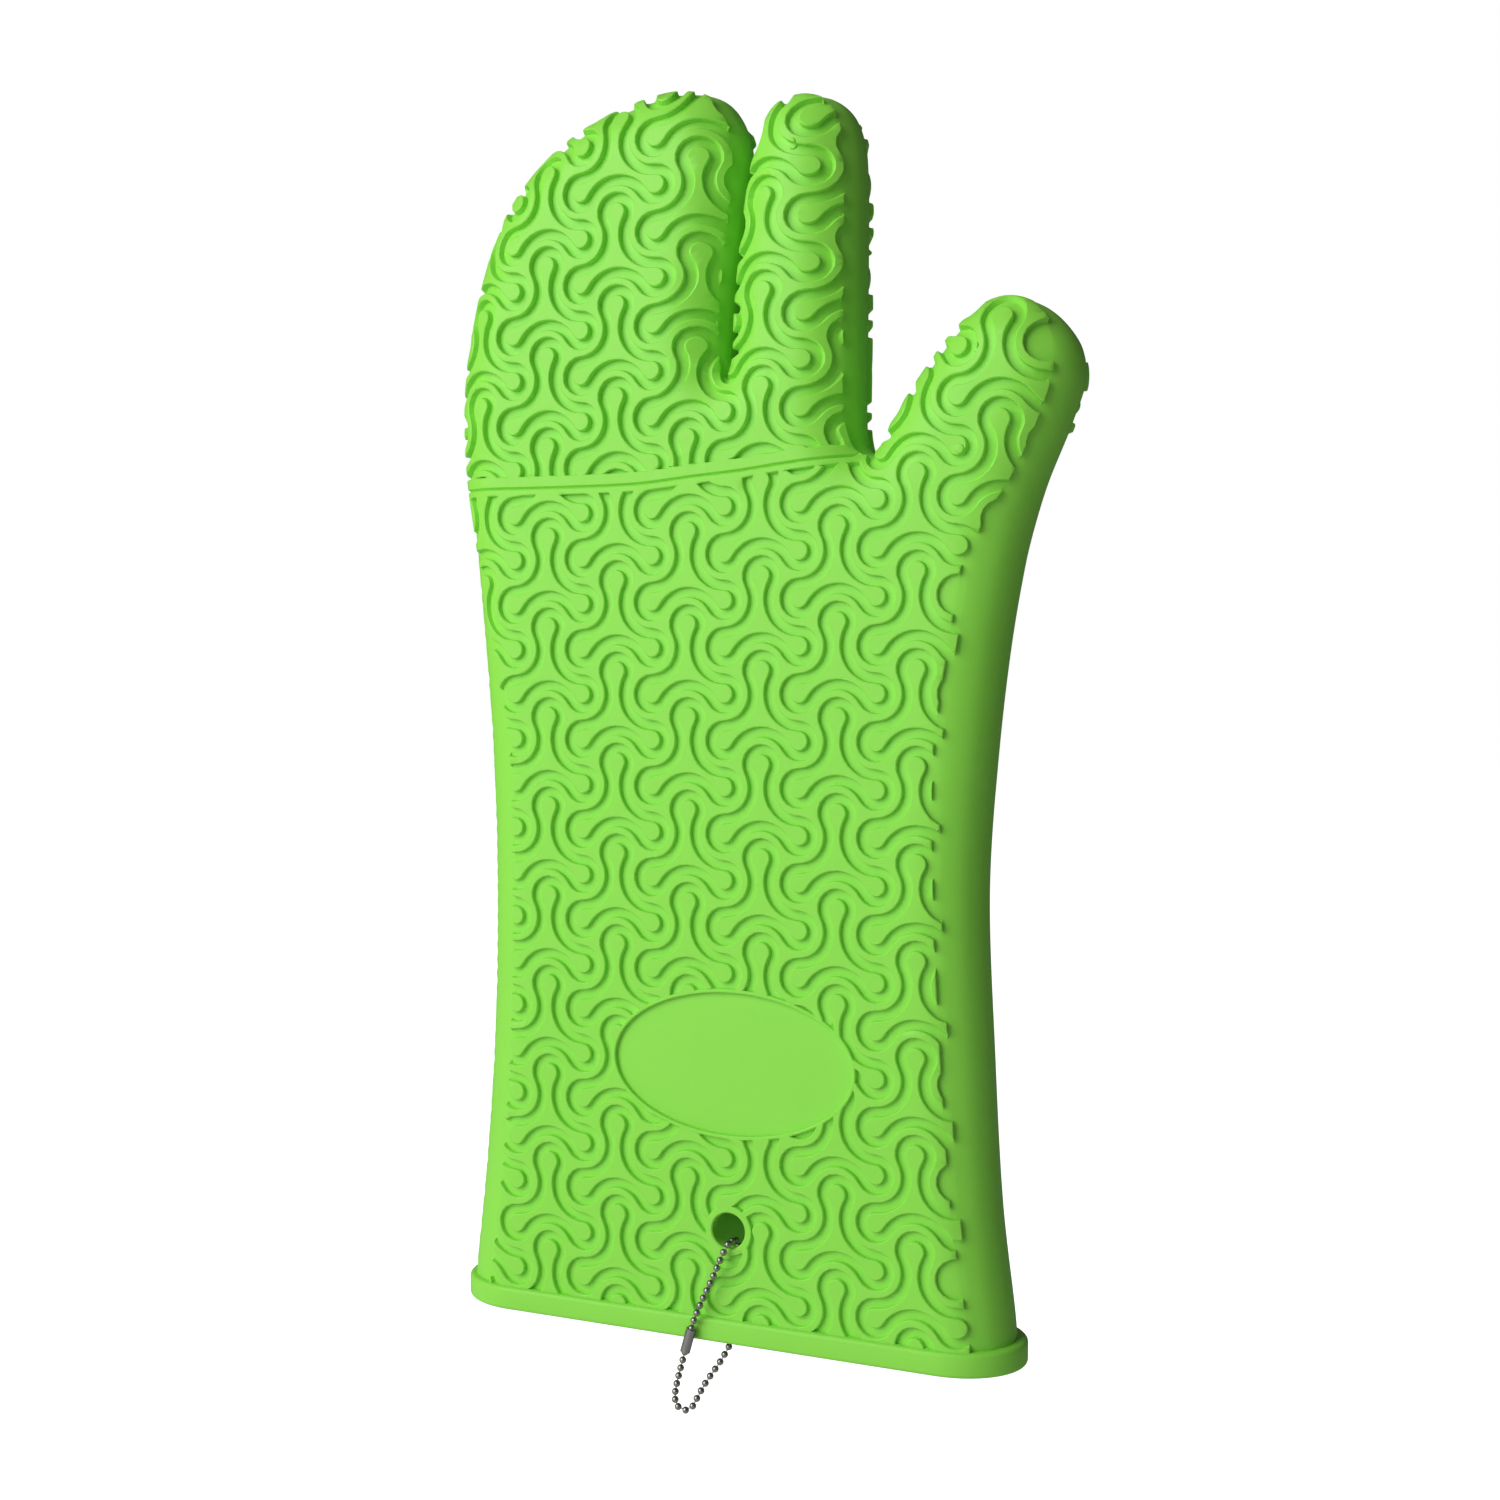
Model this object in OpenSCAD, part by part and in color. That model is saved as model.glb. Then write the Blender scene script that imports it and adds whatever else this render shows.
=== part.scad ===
// Moulded silicone oven mitt with three finger cells and a ball chain loop.
// Origin: centre of the cuff opening. +Z runs to the fingertips, the palm faces -Y, the thumb is at +X.

/* [Cuff] */
// Outer width of the moulded rim
rim_w = 167; // [160:1:176]
// Outer depth of the moulded rim, palm side to back
rim_d = 33.4; // [32:0.1:36]
// Height of the rim
rim_h = 6.5; // [4:0.5:9]

/* [Silicone] */
// Thickness of the plain wall
wall = 2; // [1.5:0.1:2.6]
// Half of the mitt's depth, without the raised pattern
half_d = 14.2; // [13:0.1:15]
// How far the rounded side walls reach in from the outline
side_r = 15; // [10:0.5:18]

/* [Bending lines] */
// Height of the crease across the knuckles
crease_z = 236; // [232:0.5:240]
// Height at which the fingers part
fork_z = 266; // [262:0.5:270]
// Gap left at each bending line
flex_gap = 0.4; // [0.3:0.1:0.8]

/* [Hanging hole] */
// Sideways place of the hole
hole_x = 5.4; // [-10:0.2:20]
// Height of the hole's centre
hole_z = 30.5; // [26:0.5:36]
// Radius of the hole
hole_r = 4.85; // [4:0.05:6]

/* [Ball chain] */
// Diameter of a ball
ball_d = 1.9; // [1.6:0.1:2.1]
// Number of balls in the closed loop
ball_count = 46; // [44:1:48]
// Diameter of the pin between two balls
pin_d = 0.36; // [0.3:0.02:0.4]
// Outer diameter of the connector sleeve
sleeve_d = 2.7; // [2.6:0.1:3]
// Length of the connector sleeve
sleeve_len = 6.8; // [6:0.2:8]

/* [Hidden] */

lime = "yellowgreen";
steel = "silver";
arc_steps = 11;
fine = 48;

// Outline points are [height, x]. The curve through them is smooth.
left_side = [[0, -82], [12, -81], [40, -77.8], [80, -74.8], [124, -74], [160, -75.2],
             [200, -78.6], [234, -81.8], [254, -82], [271, -80]];
right_side = [[0, 81], [12, 80], [40, 76.4], [80, 74], [124, 72.6], [160, 74.6],
              [190, 78], [206, 80.6], [222, 84]];
knuckle_right = [[231, 41.3], [238, 40.8], [243, 38.4], [248, 37.5], [271, 37.5]];
pocket_left = [[254, -82], [264, -81.2], [280, -77.6], [296, -72.4], [312, -64],
               [324, -52.5], [331, -40], [335.5, -25], [336.6, -14]];
pocket_right = [[262, 1.4], [275, 1.6], [292, 2.6], [306, 3.6], [318, 3.9], [326, 2],
                [332, -2], [335.5, -8], [336.6, -12]];
index_left = [[262, 5.4], [270, 5.5], [281, 6.8], [296, 8], [310, 9], [320, 11.6],
              [326, 14], [330, 18], [331.8, 22.5]];
index_right = [[262, 37.5], [300, 37.4], [314, 36.8], [322, 35], [328, 31.4], [331, 27.4], [331.8, 24]];

// The thumb is drawn along its own axis: points are [distance from its bending line, x from the crotch].
crotch_x = 42;
thumb_edge_x = 80.5;
thumb_edge_z = 206;
thumb_lean = atan2(crease_z - thumb_edge_z, thumb_edge_x - crotch_x);
thumb_left = [[0, 0.8], [12, 1], [30, 1.6], [42, 3], [50, 6.2], [55, 10.4], [57.6, 16]];
thumb_right = [[0, 47.4], [8, 44.8], [22, 40.2], [38, 35.4], [48, 32], [53.4, 27.6], [56.4, 22], [57.6, 18]];

// Smooth curve through points [height, x], each stretch a cubic with the slopes of its neighbours
function slope(p, i) =
    let(a = max(i - 1, 0), b = min(i + 1, len(p) - 1))
    (p[b][1] - p[a][1]) / (p[b][0] - p[a][0]);
function stretch(p, z, i = 0) = (i >= len(p) - 2 || z < p[i + 1][0]) ? i : stretch(p, z, i + 1);
function at(p, z) =
    let(i = stretch(p, z), h = p[i + 1][0] - p[i][0], t = min(max((z - p[i][0]) / h, 0), 1))
    (2 * t ^ 3 - 3 * t ^ 2 + 1) * p[i][1] + (t ^ 3 - 2 * t ^ 2 + t) * h * slope(p, i)
    + (3 * t ^ 2 - 2 * t ^ 3) * p[i + 1][1] + (t ^ 3 - t ^ 2) * h * slope(p, i + 1);

// Half depth of a finger, which closes in a quarter ellipse over the last side_r below its tip
function tip_depth(z, tip) =
    z < tip - side_r ? half_d : half_d * sqrt(max(1 - ((z - tip + side_r) / side_r) ^ 2, 0.02));

// One ring of a shell: a long outline with elliptical ends, inset by the wall thickness where inner is 1
function ring(xl, xr, d, z, inset = 0) =
    let(end = min(side_r, (xr - xl) / 2 - 0.2) - inset, r = xr - inset - end, l = xl + inset + end, h = d - inset)
    concat([for (i = [0 : arc_steps]) let(a = -90 + 180 * i / arc_steps) [r + end * cos(a), h * sin(a), z]],
           [for (i = [0 : arc_steps]) let(a = 90 + 180 * i / arc_steps) [l + end * cos(a), h * sin(a), z]]);

// A shell between two stacks of rings, open at the bottom, and at the top too unless it is closed
module shell(outer, inner, closed) {
    n = len(outer[0]);
    ko = len(outer);
    ki = len(inner);
    points = [for (r = concat(outer, inner)) for (p = r) p];
    walls = [for (k = [0 : ko - 2]) for (i = [0 : n - 1]) let(j = (i + 1) % n, a = k * n)
             each [[a + i, a + n + i, a + n + j], [a + i, a + n + j, a + j]]];
    lining = [for (k = [0 : ki - 2]) for (i = [0 : n - 1]) let(j = (i + 1) % n, a = (ko + k) * n)
              each [[a + i, a + n + j, a + n + i], [a + i, a + j, a + n + j]]];
    foot = [for (i = [0 : n - 1]) let(j = (i + 1) % n, b = ko * n)
            each [[i, j, b + j], [i, b + j, b + i]]];
    top_o = (ko - 1) * n;
    top_i = (ko + ki - 1) * n;
    head = closed
        ? [[for (i = [n - 1 : -1 : 0]) top_o + i], [for (i = [0 : n - 1]) top_i + i]]
        : [for (i = [0 : n - 1]) let(j = (i + 1) % n)
           each [[top_o + i, top_i + j, top_o + j], [top_o + i, top_i + i, top_i + j]]];
    polyhedron(points, concat(walls, lining, foot, head), convexity = 6);
}

// Ring heights of a closed finger: even steps, then closer ones as the tip rounds over
function finger_heights(z0, tip) =
    concat([for (k = [0 : 5]) z0 + (tip - side_r - z0) * k / 6],
           [for (a = [0 : 15 : 75]) tip - side_r + side_r * sin(a)], [tip - 0.15]);

module finger(left, right, z0, tip) {
    outer = [for (z = finger_heights(z0, tip)) ring(at(left, z), at(right, z), tip_depth(z, tip), z)];
    inner = [for (z = finger_heights(z0, tip))
             let(s = z0 + (z - z0) * (tip - z0 - wall) / (tip - z0))
             ring(at(left, z), at(right, z), max(tip_depth(z, tip), wall + 0.4), s, wall)];
    shell(outer, inner, true);
}

// Palm rings stay level up to level_z. Above it they tilt step by step to the thumb's bending line.
level_z = 176;
level_steps = 10;
tilt_steps = 4;
function palm_ring(z, zr, inset) =
    let(xr = at(right_side, zr), flat = ring(at(left_side, z), xr, half_d, z, inset), m = arc_steps + 1)
    [for (i = [0 : 2 * m - 1])
        let(p = flat[i], drop = (z - zr) * max(p[0] - crotch_x, 0) / (thumb_edge_x - crotch_x))
        each concat([[p[0], p[1], p[2] - drop]],
                    i == m - 1 ? [[crotch_x, half_d - inset, z]] : [],
                    i == 2 * m - 1 ? [[crotch_x, inset - half_d, z]] : [])];
function palm_rings(inset) =
    concat([for (k = [0 : level_steps]) let(z = rim_h + (level_z - rim_h) * k / level_steps)
            palm_ring(z, z, inset)],
           [for (k = [1 : tilt_steps]) let(t = k / tilt_steps)
            palm_ring(level_z + (crease_z - level_z) * t, level_z + (thumb_edge_z - level_z) * t, inset)]);

module palm_shell() {
    color(lime)
    difference() {
        shell(palm_rings(0), palm_rings(wall), false);
        translate([hole_x, -half_d - 1, hole_z])
            rotate([-90, 0, 0])
            cylinder(r = hole_r, h = wall + 2, $fn = fine);
    }
}

module rim_outline(w, d, end) {
    hull()
        for (s = [-1, 1])
            translate([s * (w / 2 - end), 0])
            scale([end / (d / 2), 1])
            circle(d = d, $fn = 40);
}

module cuff_rim() {
    color(lime)
    linear_extrude(rim_h)
    difference() {
        rim_outline(rim_w, rim_d, side_r + 4.8);
        offset(delta = -wall)
            polygon([for (p = ring(at(left_side, rim_h), at(right_side, rim_h), half_d, 0)) [p[0], p[1]]]);
    }
}

module knuckle_shell() {
    z0 = crease_z + flex_gap;
    z1 = fork_z;
    heights = [for (k = [0 : 5]) z0 + (z1 - z0) * k / 5];
    color(lime)
    shell([for (z = heights) ring(at(left_side, z), at(knuckle_right, z), half_d, z)],
          [for (z = heights) ring(at(left_side, z), at(knuckle_right, z), half_d, z, wall)], false);
}

module finger_pocket() {
    color(lime)
    finger(pocket_left, pocket_right, fork_z + flex_gap, pocket_left[len(pocket_left) - 1][0]);
}

module index_finger() {
    color(lime)
    finger(index_left, index_right, fork_z + flex_gap, index_left[len(index_left) - 1][0]);
}

module thumb() {
    color(lime)
    translate([crotch_x, 0, crease_z])
    rotate([0, thumb_lean, 0])
    finger(thumb_left, thumb_right, flex_gap, thumb_left[len(thumb_left) - 1][0]);
}

// The chain's closed route: out of the hole, down the palm side, under the rim and up inside the cuff.
chain_top = 27.4;
route = [[6, -14.2, chain_top], [5.6, -16.9, 26.8], [4.4, -18, 23.6], [1.4, -18.4, 16.6], [-3, -18.5, 7],
         [-6.4, -18.5, -4], [-8.8, -18.3, -12.6], [-9.4, -17.9, -16.6], [-8.9, -17.2, -18.8],
         [-7.2, -16.6, -19.8], [-5.3, -16, -18.9], [-4.1, -15.4, -16.6], [-1.8, -14.2, -12], [2, -12.2, -5.8],
         [4.6, -10.6, 0.2], [5.8, -10.1, 8], [6.2, -9.9, 18], [6.2, -10.3, 24.4], [6.1, -11.7, 26.9]];
route_steps = 8;
function route_point(k) = route[(k + len(route)) % len(route)];
function route_at(k, t) =
    let(a = route_point(k - 1), b = route_point(k), c = route_point(k + 1), d = route_point(k + 2))
    0.5 * (2 * b + (c - a) * t + (2 * a - 5 * b + 4 * c - d) * t ^ 2 + (3 * b - a - 3 * c + d) * t ^ 3);
path = [for (k = [0 : len(route) - 1]) for (i = [0 : route_steps - 1]) route_at(k, i / route_steps)];
legs = [for (i = [0 : len(path) - 1]) norm(path[(i + 1) % len(path)] - path[i])];
function sum_to(v, n, i = 0, s = 0) = i >= n ? s : sum_to(v, n, i + 1, s + v[i]);
loop_len = sum_to(legs, len(legs));
function along(s, i = 0) =
    (s <= legs[i] || i == len(path) - 1)
        ? path[i] + (path[(i + 1) % len(path)] - path[i]) * s / legs[i]
        : along(s - legs[i], i + 1);
function ball_at(k) = along(loop_len * ((k + ball_count) % ball_count) / ball_count);
centres = [for (k = [0 : ball_count - 1]) ball_at(k)];
function centre(k) = centres[(k + ball_count) % ball_count];

// Turns +Z of its children to the direction v and moves them to p
module point_along(p, v) {
    translate(p)
        rotate([0, acos(v[2] / norm(v)), atan2(v[1], v[0])])
        children();
}

ball_r = ball_d / 2;
pin_r = pin_d / 2;
skin_t = 0.2;
mouth_r = 0.46;
head_gap = 0.08;
head_r = (ball_r - skin_t - 0.03 - head_gap) / 2;

// Hollow balls, each with a mouth towards its two neighbours
module hollow_ball() {
    rotate_extrude($fn = fine)
    difference() {
        circle(r = ball_r, $fn = fine);
        circle(r = ball_r - skin_t, $fn = fine);
        translate([-ball_d, -ball_d]) square([ball_d + mouth_r, 2 * ball_d]);
    }
}

module chain_balls() {
    color(steel)
    for (k = [0 : ball_count - 1])
        point_along(centre(k), centre(k + 1) - centre(k - 1))
            hollow_ball();
}

// Dumbbell pins: their heads lie inside two neighbouring balls
module chain_links() {
    reach = head_r + head_gap;
    color(steel)
    for (k = [0 : ball_count - 1]) {
        v = centre(k + 1) - centre(k);
        span = norm(v);
        point_along(centre(k), v) {
            translate([0, 0, reach]) cylinder(r = pin_r, h = span - 2 * reach, $fn = fine);
            translate([0, 0, reach]) sphere(r = head_r, $fn = fine);
            translate([0, 0, span - reach]) sphere(r = head_r, $fn = fine);
        }
    }
}

// Folded sleeve around two balls, open along one side
sleeve_ball = 13;
module chain_connector() {
    a = centre(sleeve_ball);
    b = centre(sleeve_ball + 1);
    color(steel)
    point_along((a + b) / 2, b - a)
        difference() {
            translate([0, 0, -sleeve_len / 2]) cylinder(d = sleeve_d, h = sleeve_len, $fn = fine);
            translate([0, 0, -sleeve_len]) cylinder(r = ball_r + 0.12, h = 2 * sleeve_len, $fn = fine);
            translate([0, -pin_r, -sleeve_len]) cube([sleeve_d, pin_d, 2 * sleeve_len]);
        }
}

cuff_rim();
palm_shell();
knuckle_shell();
finger_pocket();
index_finger();
thumb();
chain_balls();
chain_links();
chain_connector();
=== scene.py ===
import math
import bpy
import numpy as np
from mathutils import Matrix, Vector
from mathutils.geometry import delaunay_2d_cdt
from mathutils.kdtree import KDTree


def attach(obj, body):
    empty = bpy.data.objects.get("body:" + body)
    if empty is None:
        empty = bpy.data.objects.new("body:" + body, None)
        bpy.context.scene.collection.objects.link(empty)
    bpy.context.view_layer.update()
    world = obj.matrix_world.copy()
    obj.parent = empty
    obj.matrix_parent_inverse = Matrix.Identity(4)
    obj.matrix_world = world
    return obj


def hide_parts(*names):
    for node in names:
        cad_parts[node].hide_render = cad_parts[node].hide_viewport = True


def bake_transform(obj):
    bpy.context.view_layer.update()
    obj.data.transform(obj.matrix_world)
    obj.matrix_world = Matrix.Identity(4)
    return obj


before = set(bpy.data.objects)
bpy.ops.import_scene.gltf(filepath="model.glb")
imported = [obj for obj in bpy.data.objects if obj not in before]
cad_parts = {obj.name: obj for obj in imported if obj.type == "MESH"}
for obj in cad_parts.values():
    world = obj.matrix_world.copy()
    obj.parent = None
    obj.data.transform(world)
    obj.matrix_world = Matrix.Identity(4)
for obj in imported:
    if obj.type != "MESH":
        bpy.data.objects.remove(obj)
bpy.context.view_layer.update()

mm = 0.001
scene = bpy.context.scene


def facing(place, aim):
    return (Vector(aim) - Vector(place)).to_track_quat("-Z", "Y").to_euler()


# Camera: a little to the right of the palm side, almost level with the middle of the mitt
camera = dict(place=(0.2133, -0.4637, 0.1733), aim=(0.0116, -0.015, 0.160), lens=44.4, sensor=36.0,
              nearest=0.01)
cameraData = bpy.data.cameras.new("Camera")
cameraObject = bpy.data.objects.new("Camera", cameraData)
scene.collection.objects.link(cameraObject)
cameraObject.location = camera["place"]
cameraObject.rotation_euler = facing(camera["place"], camera["aim"])
cameraData.lens = camera["lens"]
cameraData.sensor_width = camera["sensor"]
cameraData.clip_start = camera["nearest"]
scene.camera = cameraObject
print("camera placed")


# Small helpers for curves in the flat plan of the mitt, in millimetres
def curveThrough(points, step):
    pts = np.array(points, float)
    count = len(pts)
    out = []
    for i in range(count - 1):
        b, c = pts[i], pts[i + 1]
        a = pts[i - 1] if i > 0 else 2 * b - c
        d = pts[i + 2] if i + 2 < count else 2 * c - b
        gaps = [max(np.linalg.norm(q[:2] - p[:2]), 1e-6) ** 0.5 for p, q in ((a, b), (b, c), (c, d))]
        t0, t1 = 0.0, gaps[0]
        t2 = t1 + gaps[1]
        t3 = t2 + gaps[2]
        n = max(1, int(round(np.linalg.norm(c[:2] - b[:2]) / step)))
        for t in np.linspace(t1, t2, n, endpoint=False):
            a1 = (t1 - t) / (t1 - t0) * a + (t - t0) / (t1 - t0) * b
            a2 = (t2 - t) / (t2 - t1) * b + (t - t1) / (t2 - t1) * c
            a3 = (t3 - t) / (t3 - t2) * c + (t - t2) / (t3 - t2) * d
            b1 = (t2 - t) / (t2 - t0) * a1 + (t - t0) / (t2 - t0) * a2
            b2 = (t3 - t) / (t3 - t1) * a2 + (t - t1) / (t3 - t1) * a3
            out.append((t2 - t) / (t2 - t1) * b1 + (t - t1) / (t2 - t1) * b2)
    out.append(pts[-1])
    return np.array(out)


# Distance from each point to an evenly spaced line, measured to the stretches beside its nearest point
def distanceTo(line, pts, closed=False):
    count = len(line)
    tree = KDTree(count)
    for i, p in enumerate(line):
        tree.insert((p[0], p[1], 0), i)
    tree.balance()
    nearest = np.array([tree.find((p[0], p[1], 0))[1] for p in pts])
    best = np.full(len(pts), np.inf)
    for shift in (-2, -1, 0, 1):
        first = nearest + shift
        if closed:
            a = line[first % count]
            b = line[(first + 1) % count]
        else:
            a = line[np.clip(first, 0, count - 1)]
            b = line[np.clip(first + 1, 0, count - 1)]
        along = b - a
        squared = np.maximum((along ** 2).sum(1), 1e-12)
        t = np.clip(((pts - a) * along).sum(1) / squared, 0, 1)
        off = pts - a - t[:, None] * along
        best = np.minimum(best, np.hypot(off[:, 0], off[:, 1]))
    return best


def isInside(loop, pts):
    a = loop
    b = np.roll(loop, -1, axis=0)
    inside = np.zeros(len(pts), bool)
    batch = 4000
    for k in range(0, len(pts), batch):
        x = pts[k:k + batch, 0][:, None]
        z = pts[k:k + batch, 1][:, None]
        spans = (a[None, :, 1] > z) != (b[None, :, 1] > z)
        rise = b[:, 1] - a[:, 1]
        rise = np.where(np.abs(rise) < 1e-12, 1e-12, rise)
        cross = (b[:, 0] - a[:, 0])[None] * (z - a[None, :, 1]) / rise[None] + a[None, :, 0]
        inside[k:k + batch] = ((spans & (x < cross)).sum(1) % 2) == 1
    return inside


def signedDistance(loop, pts):
    d = distanceTo(loop, pts, closed=True)
    return np.where(isInside(loop, pts), d, -d)


def unitNormals(line):
    along = np.gradient(line, axis=0)
    along /= np.linalg.norm(along, axis=1)[:, None]
    return np.stack([along[:, 1], -along[:, 0]], 1)


# Outline of the mitt seen flat, from the cuff's left corner over the fingers and thumb to its right corner.
# Each point is x, z and how far in from the edge the raised pattern stops there.
thumb = dict(root=(42.0, 236.0), along=(0.61465, 0.7888), across=(0.7888, -0.61465), tip=(57.6, 13))


def thumbPoint(t, s, margin):
    x = thumb["root"][0] + t * thumb["along"][0] + s * thumb["across"][0]
    z = thumb["root"][1] + t * thumb["along"][1] + s * thumb["across"][1]
    return (x, z, margin)


outlinePoints = [
    (-82, 2, 11), (-81, 12, 11.4), (-77.8, 40, 11.8), (-74.8, 80, 11.8), (-74, 124, 11.8),
    (-75.2, 160, 12), (-76.8, 181, 9.6), (-78.6, 200, 7), (-81.8, 234, 3), (-82.6, 254, 1.6),
    (-82, 266, 1.4), (-79.6, 280, 1.4), (-75.2, 296, 1.4), (-67.4, 312.6, 1.4), (-55.8, 325, 1.4),
    (-41.6, 333.4, 1.4), (-26, 338.2, 1.5), (-12, 339.6, 1.8), (-1.6, 336.4, 2.2), (3.6, 328.5, 2.4),
    (5.2, 317, 2.4), (3.9, 304, 2.4), (2, 290, 2.4), (0.8, 277, 2.2), (0.2, 266, 2), (1.4, 261.8, 1.8),
    (2.6, 266, 1.6), (3, 276, 1.5), (4, 288, 1.5), (5.9, 304, 1.5), (8.2, 317, 1.5), (11, 326, 1.6),
    (15.4, 332.2, 1.8), (22.2, 334.3, 2), (29.4, 333.2, 2.4), (34.6, 329.2, 2.8), (37.6, 322, 3),
    (38.5, 312, 3.2), (38.6, 298, 3.2), (38.4, 270, 3.2), (38.2, 250, 3), (38.6, 243.6, 2.6),
    (39.8, 239.8, 2.2), (42.3, 238.3, 2), (45.2, 240, 1.8), thumbPoint(12, -1.2, 1.5),
    thumbPoint(30, -2, 1.4), thumbPoint(42, -1.2, 1.4), thumbPoint(50.4, 1.4, 1.4),
    thumbPoint(55.4, 6, 1.5), thumbPoint(57.6, 13, 1.7), thumbPoint(57.2, 20, 3),
    thumbPoint(54.6, 27, 5), thumbPoint(49, 32.4, 5.6), thumbPoint(38, 36.4, 5.4),
    thumbPoint(22, 40.8, 6), thumbPoint(8, 46.2, 9.4), (81.6, 206, 9.8), (78.5, 188, 9.8),
    (75.2, 160, 10.6), (72.8, 124, 8.6), (74.4, 80, 8), (76.8, 40, 7.4), (80.2, 12, 6.6), (81, 2, 6.4)]
body = dict(halfDepth=14.2, edge=15.0, wall=2.0, seam=0.8, palmRelief=1.35, tipRelief=1.7, reliefLow=222,
            reliefHigh=246, softWidth=2.2, softReach=7, softFrom=3, softTo=7, outlineStep=1.15)
# How near the edge the pattern comes on the back, and where the ribbons stop on the right side
reach = dict(backMargin=2.1, backLow=222, backRise=16, ribbonMargin=1.9, ribbonTop=216, ribbonFall=8)

outlineAll = curveThrough(outlinePoints, body["outlineStep"])
outline = outlineAll[:, :2]
margins = outlineAll[:, 2]
inward = unitNormals(outline)
bottomLeft = outline[0]
bottomRight = outline[-1]
seamCurve = outline + inward * body["seam"]
seamCurve[0, 1] = bottomLeft[1]
seamCurve[-1, 1] = bottomRight[1]
patternEdge = outline + inward * margins[:, None]
floorLevel = -20.0
farDown = np.array([[patternEdge[-1, 0], floorLevel], [patternEdge[0, 0], floorLevel]])
patternArea = np.vstack([patternEdge, farDown])
# On the back the pattern reaches round the right side of the index finger and thumb
backShare = np.clip((outline[:, 1] - reach["backLow"]) / reach["backRise"], 0, 1)
backMargins = margins * (1 - backShare) + np.minimum(margins, reach["backMargin"]) * backShare
backArea = np.vstack([outline + inward * backMargins[:, None], farDown])
# Down the right side the ribbons stop a little before the stars do
ribbonShare = np.clip((reach["ribbonTop"] - outline[:, 1]) / reach["ribbonFall"], 0, 1) * (outline[:, 0] > 0)
ribbonMargins = margins + reach["ribbonMargin"] * ribbonShare
ribbonArea = np.vstack([outline + inward * ribbonMargins[:, None], farDown])
print("outline drawn,", len(outline), "points")


# Thickness of the mitt: half an ellipse around every edge, flat in between
def edgeProfile(inset, depth, edge):
    u = np.clip(1 - inset / edge, 0, 1)
    return depth * np.sqrt(np.maximum(1 - u * u, 0))


def smoothStep(x, low, high):
    t = np.clip((x - low) / (high - low), 0, 1)
    return t * t * (3 - 2 * t)


# A grid a little larger than the mitt holds a softened copy of the thickness
gridStep = 1.0
gridX = np.arange(-90, 118, gridStep)
gridZ = np.arange(-12, 346, gridStep)
lineBottom = -30.0
gridPts = np.stack(np.meshgrid(gridX, gridZ, indexing="ij"), -1).reshape(-1, 2)
fullLoop = np.vstack([outline, [[bottomRight[0], lineBottom], [bottomLeft[0], lineBottom]]])
below = np.arange(lineBottom, bottomLeft[1] - 0.5, 1.0)
openLine = np.vstack([np.column_stack([np.full(len(below), bottomLeft[0]), below]), outline,
                      np.column_stack([np.full(len(below), bottomRight[0]), below[::-1]])])
gridInset = distanceTo(openLine, gridPts)
gridInset = np.where(isInside(fullLoop, gridPts), gridInset, 0.0)
gridHeight = edgeProfile(gridInset, body["halfDepth"], body["edge"]).reshape(len(gridX), len(gridZ))
kernelPlaces = np.arange(-body["softReach"], body["softReach"] + 1)
kernel = np.exp(-0.5 * (kernelPlaces * gridStep / body["softWidth"]) ** 2)
kernel /= kernel.sum()
softHeight = gridHeight
for axis in (0, 1):
    softHeight = np.apply_along_axis(lambda row: np.convolve(row, kernel, "same"), axis, softHeight)


def fromGrid(values, pts):
    fx = np.clip((pts[:, 0] - gridX[0]) / gridStep, 0, len(gridX) - 1.001)
    fz = np.clip((pts[:, 1] - gridZ[0]) / gridStep, 0, len(gridZ) - 1.001)
    ix = fx.astype(int)
    iz = fz.astype(int)
    tx = fx - ix
    tz = fz - iz
    low = values[ix, iz] * (1 - tz) + values[ix, iz + 1] * tz
    high = values[ix + 1, iz] * (1 - tz) + values[ix + 1, iz + 1] * tz
    return low * (1 - tx) + high * tx


def baseHeight(pts):
    inset = distanceTo(openLine, pts)
    exact = edgeProfile(inset, body["halfDepth"], body["edge"])
    share = smoothStep(inset, body["softFrom"], body["softTo"])
    return exact * (1 - share) + fromGrid(softHeight, pts) * share, inset


# The raised pattern: three-armed stars on a triangular lattice with ribbons winding between them
pattern = dict(pitch=25.0, centre=(-6.75, 181.25), knob=2.625, groove=2.6, lobeSteps=12, waistSteps=12,
               starReach=24.0, past=18)
wallSteps = [(-0.08, 0.0), (0.1, 0.87), (0.34, 1.0)]


def rise(d):
    xs = [s[0] for s in wallSteps]
    ys = [s[1] for s in wallSteps]
    return np.interp(d, xs, ys)


def starLoop(offset):
    half = pattern["pitch"] / 2
    knob = pattern["knob"] + offset
    waist = half - pattern["knob"] - offset
    pts = []
    for arm in (90, 210, 330):
        lobe = np.radians(arm - 120 + np.arange(pattern["lobeSteps"]) * 240 / pattern["lobeSteps"])
        cx = half * math.cos(math.radians(arm))
        cz = half * math.sin(math.radians(arm))
        pts += [(cx + knob * math.cos(a), cz + knob * math.sin(a)) for a in lobe]
        side = arm + 60
        cx = half * math.cos(math.radians(side))
        cz = half * math.sin(math.radians(side))
        back = np.radians(side + 240 - np.arange(pattern["waistSteps"]) * 120 / pattern["waistSteps"])
        pts += [(cx + waist * math.cos(a), cz + waist * math.sin(a)) for a in back]
    return np.array(pts)


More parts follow.
